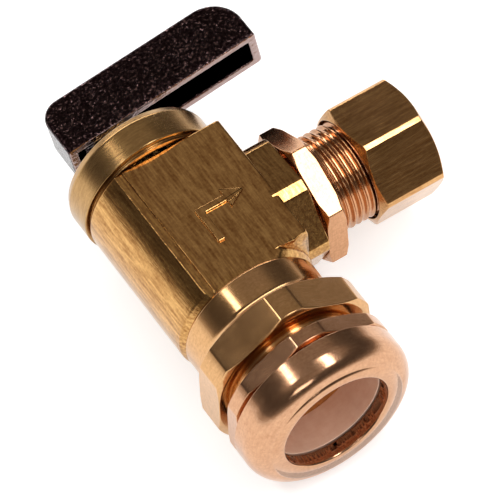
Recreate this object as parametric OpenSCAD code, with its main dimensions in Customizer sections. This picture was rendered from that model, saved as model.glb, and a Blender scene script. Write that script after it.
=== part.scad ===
// Quarter-turn angle stop valve: a ball valve with compression ends at right angles.
// Frame: origin at the centre of the inlet nut's mouth, +Y along the body to the lever,
// +X along the outlet, +Z up out of the flat face. Sizes are in millimetres.

/* [Tubes] */
// Outside diameter of the inlet tube
inlet_tube_d = 15.875; // [15.5:0.005:16.2]
// Outside diameter of the outlet tube
outlet_tube_d = 9.525; // [9.2:0.005:9.8]
// Radial room round each tube
tube_clearance = 0.11; // [0.05:0.01:0.3]

/* [Inlet end] */
// Length of the inlet nut
inlet_nut_len = 8.1; // [7.6:0.1:8.6]
// Radius of the inlet nut's round nose
inlet_nose_r = 12.7; // [12.4:0.05:13.2]
// Width across the flats of the inlet nut and hex
inlet_hex_af = 23.8; // [23.5:0.1:25.4]
// Radius of the turned corners on the inlet adapter's hex
inlet_land_r = 12.9; // [12.7:0.05:13.2]
// Thickness of the inlet nut's lip
inlet_lip = 2.1; // [1.6:0.1:2.4]
// Outside radius of the inlet thread
inlet_thread_r = 10.3; // [10.1:0.05:10.5]
// Pitch of the inlet thread
inlet_pitch = 1.411; // [1.2:0.001:1.6]
// Bare thread between the inlet nut and the adapter's hex
inlet_nut_gap = 1.9; // [1.5:0.1:2.4]
// Length of the inlet adapter's hex
inlet_hex_len = 5.0; // [4.5:0.1:5.8]
// Radius of the round neck above the hex
inlet_neck_r = 10.4; // [10.1:0.05:10.7]
// Length of the round neck above the hex
inlet_neck_len = 5.9; // [5.0:0.1:7.0]
// Radius of the water way below the ball
water_way_r = 3.9; // [3.4:0.1:4.0]

/* [Body] */
// Length of the body's barrel
body_length = 23.6; // [22.8:0.1:28.4]
// Radius of the body's barrel
barrel_r = 10.7; // [10.5:0.05:11.2]
// Height of each side flat above the centre
flat_z = 9.0; // [8.9:0.05:9.6]
// Reach of the block on the outlet side
block_x = 10.4; // [9.8:0.1:11.0]
// Height of the outlet's centre line above the barrel's foot
outlet_rise = 12.0; // [11.6:0.1:12.6]
// Width across the flats of the six-sided outlet boss
boss_af = 17.4; // [17.2:0.1:17.8]
// Radius of the boss's turned corners
boss_land_r = 9.6; // [9.4:0.05:9.8]
// Length of the outlet boss beyond the block
boss_len = 3.9; // [3.6:0.1:4.7]
// Radius of the threaded sockets at the two ends of the barrel
socket_r = 7.7; // [7.6:0.05:7.75]
// Height of the raised flow arrow
arrow_height = 0.3; // [0.15:0.05:0.4]

/* [Ball and seats] */
// Radius of the ball
ball_r = 6.9; // [6.8:0.05:7.0]
// Radius of the hole through the ball
port_r = 3.6; // [3.2:0.1:3.8]
// Room between the ball and each seat
seat_gap = 0.3; // [0.25:0.05:0.35]
// Distance of the seats' inner faces from the ball's centre
seat_reach = 5.25; // [5.2:0.05:5.35]

/* [Cap and stem] */
// Height of the cap's round flange
cap_height = 5.7; // [5.2:0.1:6.2]
// Radius of the cap's round flange
cap_r = 11.0; // [10.8:0.05:11.4]
// Radius of the stem where it turns in the cap
stem_r = 3.5; // [3.3:0.05:3.7]
// Radial room for the stem in the cap
stem_clearance = 0.05; // [0.03:0.01:0.08]
// Radius of the stem's driving end
drive_r = 2.6; // [2.5:0.05:2.7]
// Width across the driving end's two flats
drive_af = 4.0; // [3.8:0.1:4.2]
// Height of the two stops
stop_height = 1.5; // [1.2:0.1:1.7]

/* [Lever] */
// Height of the lever's underside above the cap
lever_rise = 4.9; // [4.3:0.1:6.0]
// Depth of the lever along the stem
lever_depth = 8.6; // [8.4:0.1:10.4]
// Width of the lever
lever_width = 7.0; // [6.9:0.1:8.0]
// Reach of the lever's long end
lever_reach = 23.8; // [21.0:0.1:26.0]
// Reach of the lever's short end
lever_back = 6.8; // [6.2:0.1:7.6]
// Thickness of the lever's side walls
lever_wall = 1.3; // [1.1:0.1:1.5]
// Angle of the lever from the outlet's line
lever_angle = 8; // [0:1:20]

/* [Outlet end] */
// Length of the outlet adapter's hex
outlet_hex_len = 3.1; // [2.8:0.1:3.5]
// Width across the flats of the outlet adapter's hex
outlet_hex_af = 17.46; // [17.2:0.01:18.0]
// Outside radius of the outlet thread
outlet_thread_r = 7.14; // [7.0:0.01:7.3]
// Pitch of the outlet thread
outlet_pitch = 1.058; // [0.9:0.001:1.2]
// Length of the outlet adapter's nose beyond its hex
outlet_nose_len = 10.5; // [9.9:0.1:10.9]
// Distance from the hex to the outlet nut
outlet_nut_gap = 5.8; // [5.1:0.1:6.9]
// Length of the outlet nut
outlet_nut_len = 10.3; // [10.0:0.1:12.4]
// Width across the flats of the outlet nut
outlet_nut_af = 15.875; // [15.8:0.005:16.5]
// Radius of the outlet nut's turned corners
outlet_land_r = 8.95; // [8.9:0.05:9.1]
// Thickness of the outlet nut's lip
outlet_lip = 2.0; // [1.8:0.1:2.2]
// Radial room between each nut and its thread
thread_clearance = 0.25; // [0.2:0.01:0.3]

/* [Hidden] */
smooth = 96;
slip = 0.05;
inlet_bore_r = inlet_tube_d / 2 + tube_clearance;
outlet_bore_r = outlet_tube_d / 2 + tube_clearance;
inlet_hex_start = inlet_nut_len + inlet_nut_gap;
inlet_hex_end = inlet_hex_start + inlet_hex_len;
inlet_nose_y = inlet_lip + 3.5;
inlet_stop_y = inlet_hex_end + 2;
body_start = inlet_hex_end + inlet_neck_len;
body_end = body_start + body_length;
outlet_y = body_start + outlet_rise;
ferrule_slope = 0.354;
seat_r = 7.35;
cavity_r = seat_r + slip;
seat_back = seat_reach + 1.4;
cavity_low = outlet_y - seat_back - slip;
cavity_high = outlet_y + seat_back + slip;
tail_r = socket_r - slip;
outlet_seat_r = 5.15;
outlet_seat_x = 7.9;
outlet_socket_r = 6.3;
outlet_tail_r = outlet_socket_r - slip;
boss_x = block_x + boss_len;
outlet_hex_start = boss_x + 0.3;
outlet_hex_end = outlet_hex_start + outlet_hex_len;
outlet_stop_x = outlet_hex_end + 3.3;
outlet_thread_end = outlet_hex_end + outlet_nose_len;
outlet_nut_start = outlet_hex_end + outlet_nut_gap;
flange_r = 5.3;
pocket_r = flange_r + seat_gap;
flange_low = outlet_y + ball_r + 0.3;
flange_high = flange_low + 1.4;
washer_high = flange_high + slip + 0.7;
pocket_high = washer_high + slip;
cap_top = body_end + cap_height;
lever_y = cap_top + lever_rise;
plate_low = cap_top + 0.25;
plate_high = plate_low + stop_height - 0.35;
nut_high = plate_high + 2.4;
stem_top = lever_y + 4.4;
head_floor = stem_top + 1.4;
lever_top = lever_y + lever_depth;
screw_r = 1.45;
head_r = 2.7;
outlet_nut_end = outlet_nut_start + outlet_nut_len;
outlet_lip_x = outlet_nut_end - outlet_lip;
ferrule_tail_x = outlet_thread_end - 1.6;

// Turns a shape drawn upward to point along +Y, with its base at the given height.
module up_y(height = 0) {
    translate([0, height, 0]) rotate([-90, 0, 0]) children();
}

// Turns a shape drawn upward to point along the outlet, with its base at the given reach.
module out_x(reach = 0) {
    translate([reach, outlet_y, 0]) rotate([0, 90, 0]) children();
}

// Turns a shape with the lever, about the stem.
module turned() {
    rotate([0, -lever_angle, 0]) children();
}

// A straight round shape.
module disc(radius, height) {
    cylinder(r = radius, h = height, $fn = smooth);
}

// A round shape whose radius changes evenly.
module taper(low_r, high_r, height) {
    cylinder(r1 = low_r, r2 = high_r, h = height, $fn = smooth);
}

// A six-sided bar with its corners turned down to a radius and a turned chamfer at each end.
module hex_bar(across, height, corner_angle, chamfer, land_r) {
    intersection() {
        rotate([0, 0, corner_angle]) cylinder(r = across / 2 / cos(30), h = height, $fn = 6);
        union() {
            taper(land_r - chamfer * 2, land_r, chamfer);
            translate([0, 0, chamfer]) disc(land_r, height - 2 * chamfer);
            translate([0, 0, height - chamfer]) taper(land_r, land_r - chamfer * 2, chamfer);
        }
    }
}

// A round ring of round section.
module o_ring(centre_r, section_r) {
    rotate_extrude($fn = smooth) translate([centre_r, 0]) circle(r = section_r, $fn = 24);
}

// Outline points of a thread, as [radius, height] pairs up its outside, one ridge a turn.
function ridge_points(outer_r, low, pitch, turns, depth) = [
    for (i = [0 : turns - 1])
        for (corner = [[depth, 0], [depth, 0.1], [0, 0.45], [0, 0.55], [depth, 0.9]])
            [outer_r - corner[0], low + (i + corner[1]) * pitch]
];

// A shape turned from an outline of [radius, height] points.
module turned_bar(outline) {
    rotate_extrude($fn = smooth) polygon(outline);
}

// A round bar cut to two parallel flats, for driving.
module drive_bar(radius, across, height) {
    intersection() {
        disc(radius, height);
        translate([-radius - 1, -across / 2, 0]) cube([2 * radius + 2, across, height]);
    }
}

// Forged barrel with side flats, outlet block and six-sided boss, bored for the works.
module valve_body() {
    color([0.72, 0.55, 0.28])
    difference() {
        union() {
            intersection() {
                union() {
                    up_y(body_start) taper(barrel_r - 0.6, barrel_r, 0.9);
                    up_y(body_start + 0.9) disc(barrel_r, body_end - body_start - 0.9);
                }
                translate([-barrel_r - 1, body_start, -flat_z])
                    cube([2 * barrel_r + 2, body_end - body_start, 2 * flat_z]);
            }
            translate([0, body_start + 1.5, -flat_z])
                cube([block_x, body_end - body_start - 1.6, 2 * flat_z]);
            out_x(block_x - 1) hex_bar(boss_af, boss_x - block_x + 1, 24, 0.2, boss_land_r);
            flow_arrow();
        }
        up_y(body_start - 1) disc(socket_r, cavity_low - body_start + 1);
        up_y(cavity_low - 1) disc(cavity_r, cavity_high - cavity_low + 2);
        up_y(cavity_high) disc(socket_r, body_end - cavity_high + 1);
        out_x(0) disc(outlet_seat_r + slip, outlet_seat_x + 0.1);
        out_x(outlet_seat_x) disc(outlet_socket_r, boss_x);
    }
}

// Raised arrow on the upper flat: in from the inlet, out to the outlet.
module flow_arrow() {
    line_width = 1.1;
    start_x = -0.4;
    tip_x = 7;
    tip_r = 1.9;
    high = 0.5 + arrow_height;
    translate([start_x, outlet_y - 5.5, flat_z - 0.5]) cube([line_width, 6, high]);
    translate([start_x, outlet_y - line_width / 2, flat_z - 0.5])
        cube([tip_x - 1.5 * tip_r - start_x + 0.1, line_width, high]);
    translate([tip_x - tip_r, outlet_y, flat_z - 0.5]) cylinder(r = tip_r, h = high, $fn = 3);
}

// Turned end piece: nose thread, hex, neck and the tail screwed into the body.
module inlet_adapter() {
    turns = floor((inlet_hex_start - inlet_nose_y) / inlet_pitch);
    thread_low = inlet_hex_start - turns * inlet_pitch;
    core_r = inlet_thread_r - 0.6;
    mouth_end = inlet_nose_y + 3.9;
    mouth_r = inlet_bore_r + (mouth_end - inlet_nose_y) * ferrule_slope;
    color([0.70, 0.52, 0.26])
    difference() {
        union() {
            up_y() turned_bar(concat(
                [[0, inlet_nose_y], [core_r, inlet_nose_y]],
                ridge_points(inlet_thread_r, thread_low, inlet_pitch, turns, 0.6),
                [[core_r, inlet_hex_start + 0.5], [inlet_neck_r, inlet_hex_start + 0.5],
                 [inlet_neck_r + 1, inlet_hex_end - 0.1], [inlet_neck_r, inlet_hex_end + 1.2],
                 [inlet_neck_r, body_start], [tail_r - 0.8, body_start],
                 [tail_r - 0.8, body_start + 1.2], [tail_r, body_start + 1.2],
                 [tail_r, cavity_low], [0, cavity_low]]));
            up_y(inlet_hex_start) hex_bar(inlet_hex_af, inlet_hex_len, 31, 0.45, inlet_land_r);
        }
        up_y() turned_bar([[0, 0], [mouth_r + ferrule_slope, inlet_nose_y - 1], [mouth_r, inlet_nose_y],
                           [inlet_bore_r, mouth_end], [inlet_bore_r, inlet_stop_y],
                           [water_way_r, inlet_stop_y], [water_way_r, cavity_low + 1],
                           [0, cavity_low + 1]]);
    }
}

// Seal between the inlet adapter's shoulder and the body.
module inlet_adapter_oring() {
    color([0.08, 0.08, 0.08]) up_y(body_start + 0.6) o_ring(tail_r - 0.4, 0.39);
}

// One of the two ring seats below and above the ball.
module ring_seat(side) {
    low = side < 0 ? outlet_y - seat_back : outlet_y + seat_reach;
    difference() {
        up_y(low) disc(seat_r, seat_back - seat_reach);
        up_y(low - 1) disc(water_way_r, seat_back);
        translate([0, outlet_y, 0]) sphere(r = ball_r + seat_gap, $fn = smooth);
    }
}

module inlet_seat() {
    color([0.93, 0.93, 0.90]) ring_seat(-1);
}

module upper_seat() {
    color([0.93, 0.93, 0.90]) ring_seat(1);
}

// Ring seat between the ball and the outlet adapter.
module outlet_seat() {
    color([0.93, 0.93, 0.90])
    difference() {
        out_x(5.4) disc(outlet_seat_r, outlet_seat_x - 5.4);
        out_x(5) disc(port_r + 0.2, 5);
        translate([0, outlet_y, 0]) sphere(r = ball_r + seat_gap, $fn = smooth);
    }
}

// Turned outlet end: tail in the boss, hex, and the nose thread the nut runs on.
module outlet_adapter() {
    turns = floor((outlet_nose_len - 0.5) / outlet_pitch);
    thread_low = outlet_thread_end - turns * outlet_pitch;
    core_r = outlet_thread_r - 0.5;
    mouth_len = 2.8;
    mouth_r = outlet_bore_r + mouth_len * 0.444;
    tail_low = outlet_seat_x + slip;
    groove_x = boss_x - 1.1;
    color([0.70, 0.52, 0.26])
    difference() {
        union() {
            out_x() turned_bar(concat(
                [[0, tail_low], [outlet_tail_r, tail_low], [outlet_tail_r, groove_x],
                 [outlet_tail_r - 0.7, groove_x], [outlet_tail_r - 0.7, boss_x],
                 [outlet_thread_r + 0.5, boss_x], [outlet_thread_r + 0.5, outlet_hex_start + 0.5],
                 [core_r + 0.1, outlet_hex_start + 0.5], [core_r + 0.1, thread_low]],
                ridge_points(outlet_thread_r, thread_low, outlet_pitch, turns, 0.5),
                [[core_r, outlet_thread_end], [0, outlet_thread_end]]));
            out_x(outlet_hex_start) hex_bar(outlet_hex_af, outlet_hex_len, 57, 0.45, outlet_hex_af / 2 + 1.27);
        }
        out_x() turned_bar([[0, tail_low - 1], [port_r + 0.1, tail_low - 1],
                            [port_r + 0.1, outlet_stop_x], [outlet_bore_r, outlet_stop_x],
                            [outlet_bore_r, outlet_thread_end - mouth_len],
                            [mouth_r, outlet_thread_end], [mouth_r + 0.4, outlet_thread_end + 1],
                            [0, outlet_thread_end + 1]]);
    }
}

// Seal between the outlet adapter's shoulder and the boss.
module outlet_adapter_oring() {
    color([0.08, 0.08, 0.08]) out_x(boss_x - 0.55) o_ring(outlet_tail_r - 0.35, 0.34);
}

// Screwed cap that holds the stem in, with the fixed stop on top.
module bonnet_cap() {
    color([0.72, 0.55, 0.28])
    difference() {
        union() {
            up_y(cavity_high) disc(tail_r, body_end - 1.1 - cavity_high);
            up_y(body_end - 1.1) disc(tail_r - 0.8, 1.1);
            up_y(body_end) disc(cap_r - 0.8, 0.4);
            up_y(body_end + 0.4) disc(cap_r, cap_height - 1.5);
            up_y(cap_top - 1.1) taper(cap_r, cap_r - 0.5, 1.1);
            fixed_stop();
        }
        up_y(cavity_high - 1) disc(pocket_r, pocket_high - cavity_high + 1);
        up_y(pocket_high - 1) disc(stem_r + stem_clearance, cap_top - pocket_high + 3);
    }
}

// Half ring on the cap that ends the turn both ways, one degree past each end.
module fixed_stop() {
    up_y(cap_top - 0.1) rotate([0, 0, 46]) rotate_extrude(angle = 178, $fn = smooth)
        translate([5.6, 0]) square([2.8, stop_height + 0.1]);
}

// Seal under the cap's flange.
module bonnet_oring() {
    color([0.08, 0.08, 0.08]) up_y(body_end - 0.55) o_ring(tail_r - 0.4, 0.39);
}

// Thin low-friction ring above the stem's flange.
module thrust_washer() {
    color([0.93, 0.93, 0.90])
    difference() {
        up_y(flange_high + slip) disc(flange_r, 0.7);
        up_y(flange_high - 1) disc(stem_r + 0.3, 3);
    }
}

// Ball with an elbow hole: in from below, out to the side.
module ball() {
    color([0.80, 0.81, 0.83])
    turned() difference() {
        translate([0, outlet_y, 0]) sphere(r = ball_r, $fn = smooth);
        up_y(outlet_y - ball_r - 1) disc(port_r, ball_r + 1);
        out_x(0) disc(port_r, ball_r + 1);
        translate([0, outlet_y, 0]) sphere(r = port_r, $fn = smooth);
        translate([-ball_r, outlet_y + ball_r - 2.4, -1.3]) cube([2 * ball_r, 4, 2.6]);
    }
}

// Stem: tongue in the ball, flange, seal grooves, driving end and screw hole.
module stem() {
    color([0.74, 0.58, 0.32])
    turned() difference() {
        union() {
            translate([-2.9, outlet_y + ball_r - 2.2, -1.2]) cube([5.8, 3, 2.4]);
            up_y(flange_low) disc(flange_r, flange_high - flange_low);
            up_y(flange_high) disc(stem_r, cap_top - flange_high);
            up_y(cap_top - 0.1) drive_bar(drive_r, drive_af, stem_top - cap_top + 0.1);
        }
        for (height = [cap_top - 4.8, cap_top - 2.6])
            up_y(height - 0.6) difference() {
                disc(stem_r + 1, 1.2);
                translate([0, 0, -1]) disc(stem_r - 0.9, 3.2);
            }
        up_y(stem_top - 6.5) disc(screw_r + slip, 7);
    }
}

module stem_oring_lower() {
    color([0.08, 0.08, 0.08]) up_y(cap_top - 4.8) o_ring(stem_r - 0.45, 0.43);
}

module stem_oring_upper() {
    color([0.08, 0.08, 0.08]) up_y(cap_top - 2.6) o_ring(stem_r - 0.45, 0.43);
}

// Plate keyed to the stem, with the ear that meets the fixed stop.
module stop_plate() {
    color([0.78, 0.78, 0.80])
    turned() difference() {
        union() {
            up_y(plate_low) disc(5.2, plate_high - plate_low);
            up_y(plate_low) rotate([0, 0, -45]) rotate_extrude(angle = 90, $fn = smooth)
                translate([4.5, 0]) square([3.9, plate_high - plate_low]);
        }
        up_y(plate_low - 1) drive_bar(drive_r + slip, drive_af + 2 * slip, 5);
    }
}

// Thin nut that holds the stop plate on the stem.
module stem_nut() {
    color([0.72, 0.72, 0.74])
    turned() difference() {
        up_y(plate_high + slip) hex_bar(8, nut_high - plate_high - slip, 0, 0.2, 4.5);
        up_y(plate_high - 1) disc(drive_r + slip, 5);
    }
}

// Lever: a channel open below, closed at both ends, with a hub on the stem.
module handle() {
    inner_top = lever_top - 1.8;
    color([0.16, 0.15, 0.16])
    turned() difference() {
        translate([0, 0, -lever_width / 2]) lever_outline();
        difference() {
            translate([0, 0, -lever_width / 2 + lever_wall]) lever_room();
            translate([-4.3, lever_y - 1, -lever_width]) cube([8.8, lever_depth, 2 * lever_width]);
        }
        up_y(lever_y - 1) drive_bar(drive_r + slip, drive_af + 2 * slip, stem_top - lever_y + 1.2);
        up_y(lever_y) disc(screw_r + 0.15, lever_depth);
        up_y(head_floor) disc(head_r + 0.2, lever_depth);
    }
}

// Side view of the lever, drawn as thick as the lever is wide.
module lever_outline() {
    back_r = 3;
    front_r = 5;
    translate([-lever_back, lever_y, 0])
        cube([lever_reach + lever_back, lever_depth - front_r, lever_width]);
    translate([-lever_back, lever_y, 0])
        cube([lever_reach - front_r + lever_back, lever_depth - back_r, lever_width]);
    translate([-lever_back + back_r, lever_y, 0])
        cube([lever_reach + lever_back - front_r - back_r, lever_depth, lever_width]);
    translate([-lever_back + back_r, lever_top - back_r, 0])
        cylinder(r = back_r, h = lever_width, $fn = smooth);
    translate([lever_reach - front_r, lever_top - front_r, 0])
        cylinder(r = front_r, h = lever_width, $fn = smooth);
}

// Hollow inside the lever, open below.
module lever_room() {
    room_width = lever_width - 2 * lever_wall;
    room_r = 3.6;
    low_x = -lever_back + lever_wall;
    high_x = lever_reach - lever_wall;
    high_y = lever_top - 1.8;
    translate([low_x, lever_y - 1, 0]) cube([high_x - low_x, high_y - room_r - lever_y + 1, room_width]);
    translate([low_x, lever_y - 1, 0])
        cube([high_x - room_r - low_x, high_y - lever_y - 0.5, room_width]);
    translate([low_x + 1.5, lever_y - 1, 0])
        cube([high_x - room_r - low_x - 1.5, high_y - lever_y + 1, room_width]);
    translate([high_x - room_r, high_y - room_r, 0])
        cylinder(r = room_r, h = room_width, $fn = smooth);
}

// Spring washer under the screw's head.
module handle_washer() {
    color([0.66, 0.66, 0.68])
    turned() difference() {
        up_y(head_floor) disc(head_r - 0.1, 0.5);
        up_y(head_floor - 1) disc(screw_r + 0.15, 3);
    }
}

// Screw that holds the lever down on the stem.
module handle_screw() {
    head_low = head_floor + 0.5;
    color([0.60, 0.60, 0.62])
    turned() difference() {
        union() {
            up_y(stem_top - 5.5) disc(screw_r, head_low - stem_top + 5.6);
            up_y(head_low) disc(head_r, 1.3);
            up_y(head_low + 1.3) taper(head_r, head_r - 0.5, 0.4);
        }
        for (turn = [0, 90]) up_y(head_low + 0.9) rotate([0, 0, turn])
            translate([-1.6, -0.35, 0]) cube([3.2, 0.7, 2]);
    }
}

// Brass sleeve that the inlet nut squeezes onto its tube.
module inlet_ferrule() {
    tail_y = inlet_nose_y + 2.2;
    color([0.80, 0.62, 0.36])
    difference() {
        union() {
            up_y(inlet_lip + 0.3) taper(inlet_bore_r + 0.7, inlet_bore_r + 1.35, 1);
            up_y(inlet_lip + 1.3) disc(inlet_bore_r + 1.35, inlet_nose_y - 0.5 - inlet_lip - 1.3);
            up_y(inlet_nose_y - 0.5) taper(inlet_bore_r + 1.1, inlet_bore_r + 0.15, 2.7);
        }
        up_y(0) disc(inlet_bore_r, tail_y + 3);
    }
}

// Inlet nut: domed round nose, then a short hex.
module inlet_nut() {
    hex_low = inlet_nut_len - 2.6;
    dome_len = 3.2;
    dome_in = 2.9;
    room_r = inlet_thread_r + thread_clearance;
    dome = [for (a = [0 : 15 : 90])
        [inlet_nose_r - dome_in * (1 - sin(a)), dome_len * (1 - cos(a))]];
    color([0.74, 0.56, 0.30])
    difference() {
        union() {
            up_y() turned_bar(concat([[0, 0]], dome,
                [[inlet_nose_r, hex_low - 0.3], [inlet_nose_r - 1.1, hex_low - 0.3],
                 [inlet_nose_r - 1.1, hex_low + 0.5], [0, hex_low + 0.5]]));
            up_y(hex_low) hex_bar(inlet_hex_af, inlet_nut_len - hex_low, 31, 0.35, inlet_nose_r);
        }
        up_y() turned_bar([[0, -1], [inlet_bore_r, -1], [inlet_bore_r, inlet_lip],
                           [inlet_bore_r + 0.9, inlet_lip], [room_r, inlet_lip + 1.7],
                           [room_r, inlet_nut_len + 1], [0, inlet_nut_len + 1]]);
    }
}

// Brass sleeve that the outlet nut squeezes onto its tube.
module outlet_ferrule() {
    color([0.80, 0.62, 0.36])
    difference() {
        union() {
            out_x(ferrule_tail_x) taper(outlet_bore_r + 0.18, outlet_bore_r + 1, 1.8);
            out_x(ferrule_tail_x + 1.8) taper(outlet_bore_r + 1, outlet_bore_r + 1.34, 0.4);
            out_x(ferrule_tail_x + 2.2) disc(outlet_bore_r + 1.34, outlet_lip_x - 1.5 - ferrule_tail_x - 2.2);
            out_x(outlet_lip_x - 1.5) taper(outlet_bore_r + 1.34, outlet_bore_r + 0.6, 1.2);
        }
        out_x(ferrule_tail_x - 1) disc(outlet_bore_r, 9);
    }
}

// Outlet nut: a long hex with a turned chamfer at each end.
module outlet_nut() {
    color([0.72, 0.55, 0.28])
    difference() {
        out_x(outlet_nut_start) hex_bar(outlet_nut_af, outlet_nut_len, 22, 0.65, outlet_land_r);
        out_x(outlet_nut_start - 1) disc(outlet_thread_r + thread_clearance, outlet_nut_len - outlet_lip - 0.4);
        out_x(outlet_lip_x - 1.4) taper(outlet_thread_r + thread_clearance, outlet_bore_r + 0.9, 1.4);
        out_x(outlet_lip_x - 1) disc(outlet_bore_r, outlet_lip + 2);
    }
}

valve_body();
inlet_adapter();
inlet_adapter_oring();
inlet_seat();
upper_seat();
outlet_seat();
outlet_adapter();
outlet_adapter_oring();
bonnet_cap();
bonnet_oring();
thrust_washer();
ball();
stem();
stem_oring_lower();
stem_oring_upper();
stop_plate();
stem_nut();
handle();
handle_washer();
handle_screw();
inlet_ferrule();
inlet_nut();
outlet_ferrule();
outlet_nut();
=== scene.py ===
import math
import bmesh
import bpy
import numpy as np
from mathutils import Matrix, Vector
from mathutils.geometry import tessellate_polygon


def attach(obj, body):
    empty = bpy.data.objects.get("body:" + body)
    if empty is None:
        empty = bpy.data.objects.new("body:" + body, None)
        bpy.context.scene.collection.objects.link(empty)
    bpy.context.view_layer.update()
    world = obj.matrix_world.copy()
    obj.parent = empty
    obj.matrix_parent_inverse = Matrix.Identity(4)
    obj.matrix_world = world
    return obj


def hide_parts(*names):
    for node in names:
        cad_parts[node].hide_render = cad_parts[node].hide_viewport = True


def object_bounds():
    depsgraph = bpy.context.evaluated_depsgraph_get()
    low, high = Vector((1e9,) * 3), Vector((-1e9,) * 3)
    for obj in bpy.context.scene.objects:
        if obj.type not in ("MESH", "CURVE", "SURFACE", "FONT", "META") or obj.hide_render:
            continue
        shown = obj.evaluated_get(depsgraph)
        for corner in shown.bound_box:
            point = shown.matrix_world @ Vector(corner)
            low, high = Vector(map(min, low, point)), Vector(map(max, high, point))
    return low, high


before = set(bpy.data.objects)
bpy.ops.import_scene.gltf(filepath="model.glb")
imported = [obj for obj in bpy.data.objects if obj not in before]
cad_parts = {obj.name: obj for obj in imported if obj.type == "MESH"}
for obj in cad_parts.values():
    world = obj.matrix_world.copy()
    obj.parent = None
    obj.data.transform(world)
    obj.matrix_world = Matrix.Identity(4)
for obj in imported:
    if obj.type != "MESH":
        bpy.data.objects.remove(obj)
cad_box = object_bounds()
MM = 0.001
TAU = 2 * math.pi


# ---------------------------------------------------------------- the valve's own sizes, in millimetres

# Heights on the inlet's axis.
INLET_NUT_HEX_LOW, INLET_NUT_HEX_HIGH = 5.5, 8.1
INLET_HEX_LOW, INLET_HEX_HIGH = 10.0, 15.0
BODY_FOOT, BODY_HEAD = 20.92, 44.4
OUTLET_Y = 32.9
CAP_TOP = 50.2
LEVER_FOOT, LEVER_TOP = 55.1, 63.7
SCREW_FLOOR = 60.9

# Places along the outlet's axis.
BOSS_START, BOSS_END = 9.4, 14.3
OUTLET_HEX_START, OUTLET_HEX_END = 14.6, 17.7
OUTLET_NUT_START, OUTLET_NUT_END = 23.5, 33.8

# Body: half its width over the flats and over the ledges, distance to the outlet's face, barrel's radius.
BODY_FLAT, BODY_LEDGE, BODY_FACE, BARREL_R = 9.0, 8.72, 10.4, 10.7

# Lever: its turn at rest, its two ends along its own length, half its width and its wall.
LEVER_TURN = math.radians(8)
LEVER_BACK, LEVER_TIP = -6.8, 23.8
LEVER_HALF_WIDTH, LEVER_WALL = 3.5, 1.3

# Radii of the bores that the two tubes slide into.
MOUTH_R, OUTLET_MOUTH_R = 8.0475, 4.8725

# Width across flats, angle of a corner in degrees, and radius of the turned corners.
INLET_NUT_HEX = (23.8, 31, 12.7)
INLET_HEX = (23.8, 31, 12.9)
BOSS_HEX = (17.4, 24, 9.6)
OUTLET_HEX = (17.46, 57, 10.0)
OUTLET_NUT_HEX = (15.875, 22, 8.95)

# Length of one turn of each thread.
INLET_PITCH, OUTLET_PITCH = 1.411, 1.058


# ---------------------------------------------------------------- surfaces

def soften(outline, cut=0.15, steps=5):
    """Outline with rounded corners: each corner gives way to a parabola that starts and ends one cut
    away from it along the two sides, with a guard point just beyond each end. A third number on a
    point is its own cut."""
    points = [np.array(p[:2], float) for p in outline]
    cuts = [p[2] if len(p) > 2 else cut for p in outline]
    t = np.linspace(0, 1, steps)[:, None]
    parts = [points[0][None]]
    for before, here, after, reach in zip(points, points[1:], points[2:], cuts[1:]):
        back, ahead = before - here, after - here
        back_len, ahead_len = np.hypot(*back), np.hypot(*ahead)
        reach = min(reach, 0.42 * back_len, 0.42 * ahead_len)
        guard = min(reach + 0.06, 0.47 * back_len, 0.47 * ahead_len)
        back, ahead = back / back_len, ahead / ahead_len
        start, end = here + back * reach, here + ahead * reach
        parts += [(here + back * guard)[None],
                  (1 - t) ** 2 * start + 2 * t * (1 - t) * here + t ** 2 * end,
                  (here + ahead * guard)[None]]
    return np.vstack(parts + [points[-1][None]])


def soft_min(a, b, width=0.05):
    """The smaller of two lengths, with the crease between them eased over a width."""
    return (a + b - np.sqrt((a - b) ** 2 + width ** 2)) / 2


def round_angles(count=240):
    return np.arange(count) * TAU / count


def hex_radius(angles, hexagon, easing=0.05):
    """Distance from the axis to a hexagon whose corners are turned down: half the width over the cosine of
    the angle from the flat's middle, or the land's radius if that is less."""
    across, corner_angle, land = hexagon
    turn = (angles - math.radians(corner_angle)) % (math.pi / 3)
    from_flat = np.abs(turn - math.pi / 6)
    return soft_min(across / 2 / np.cos(from_flat), land, easing)


def hex_angles(hexagon, flat_count=30, land_count=5):
    """Column angles round a hexagon, close together where each flat meets a turned land."""
    across, corner_angle, land = hexagon
    edge = math.acos(min(across / 2 / land, 1.0))
    near = math.radians(1.1)
    flat = np.linspace(near - edge, edge - near, flat_count)
    meeting = edge + near * np.array([-0.6, -0.3, -0.1, 0.1, 0.3, 0.6])
    land_span = np.linspace(edge + near, math.pi / 3 - edge - near, land_count)
    side = np.concatenate([flat, meeting, land_span, math.pi / 3 - meeting[::-1]])
    side = side + math.radians(corner_angle) + math.pi / 6
    return (side[None] + np.arange(6)[:, None] * math.pi / 3).ravel()


def lathe_band(outline, angles):
    """Rows that are plain circles: radius and height from an outline, the same at every angle."""
    outline = np.asarray(outline, float)
    one = np.ones(len(angles))
    return outline[:, :1] * one, outline[:, 1:2] * one


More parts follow.
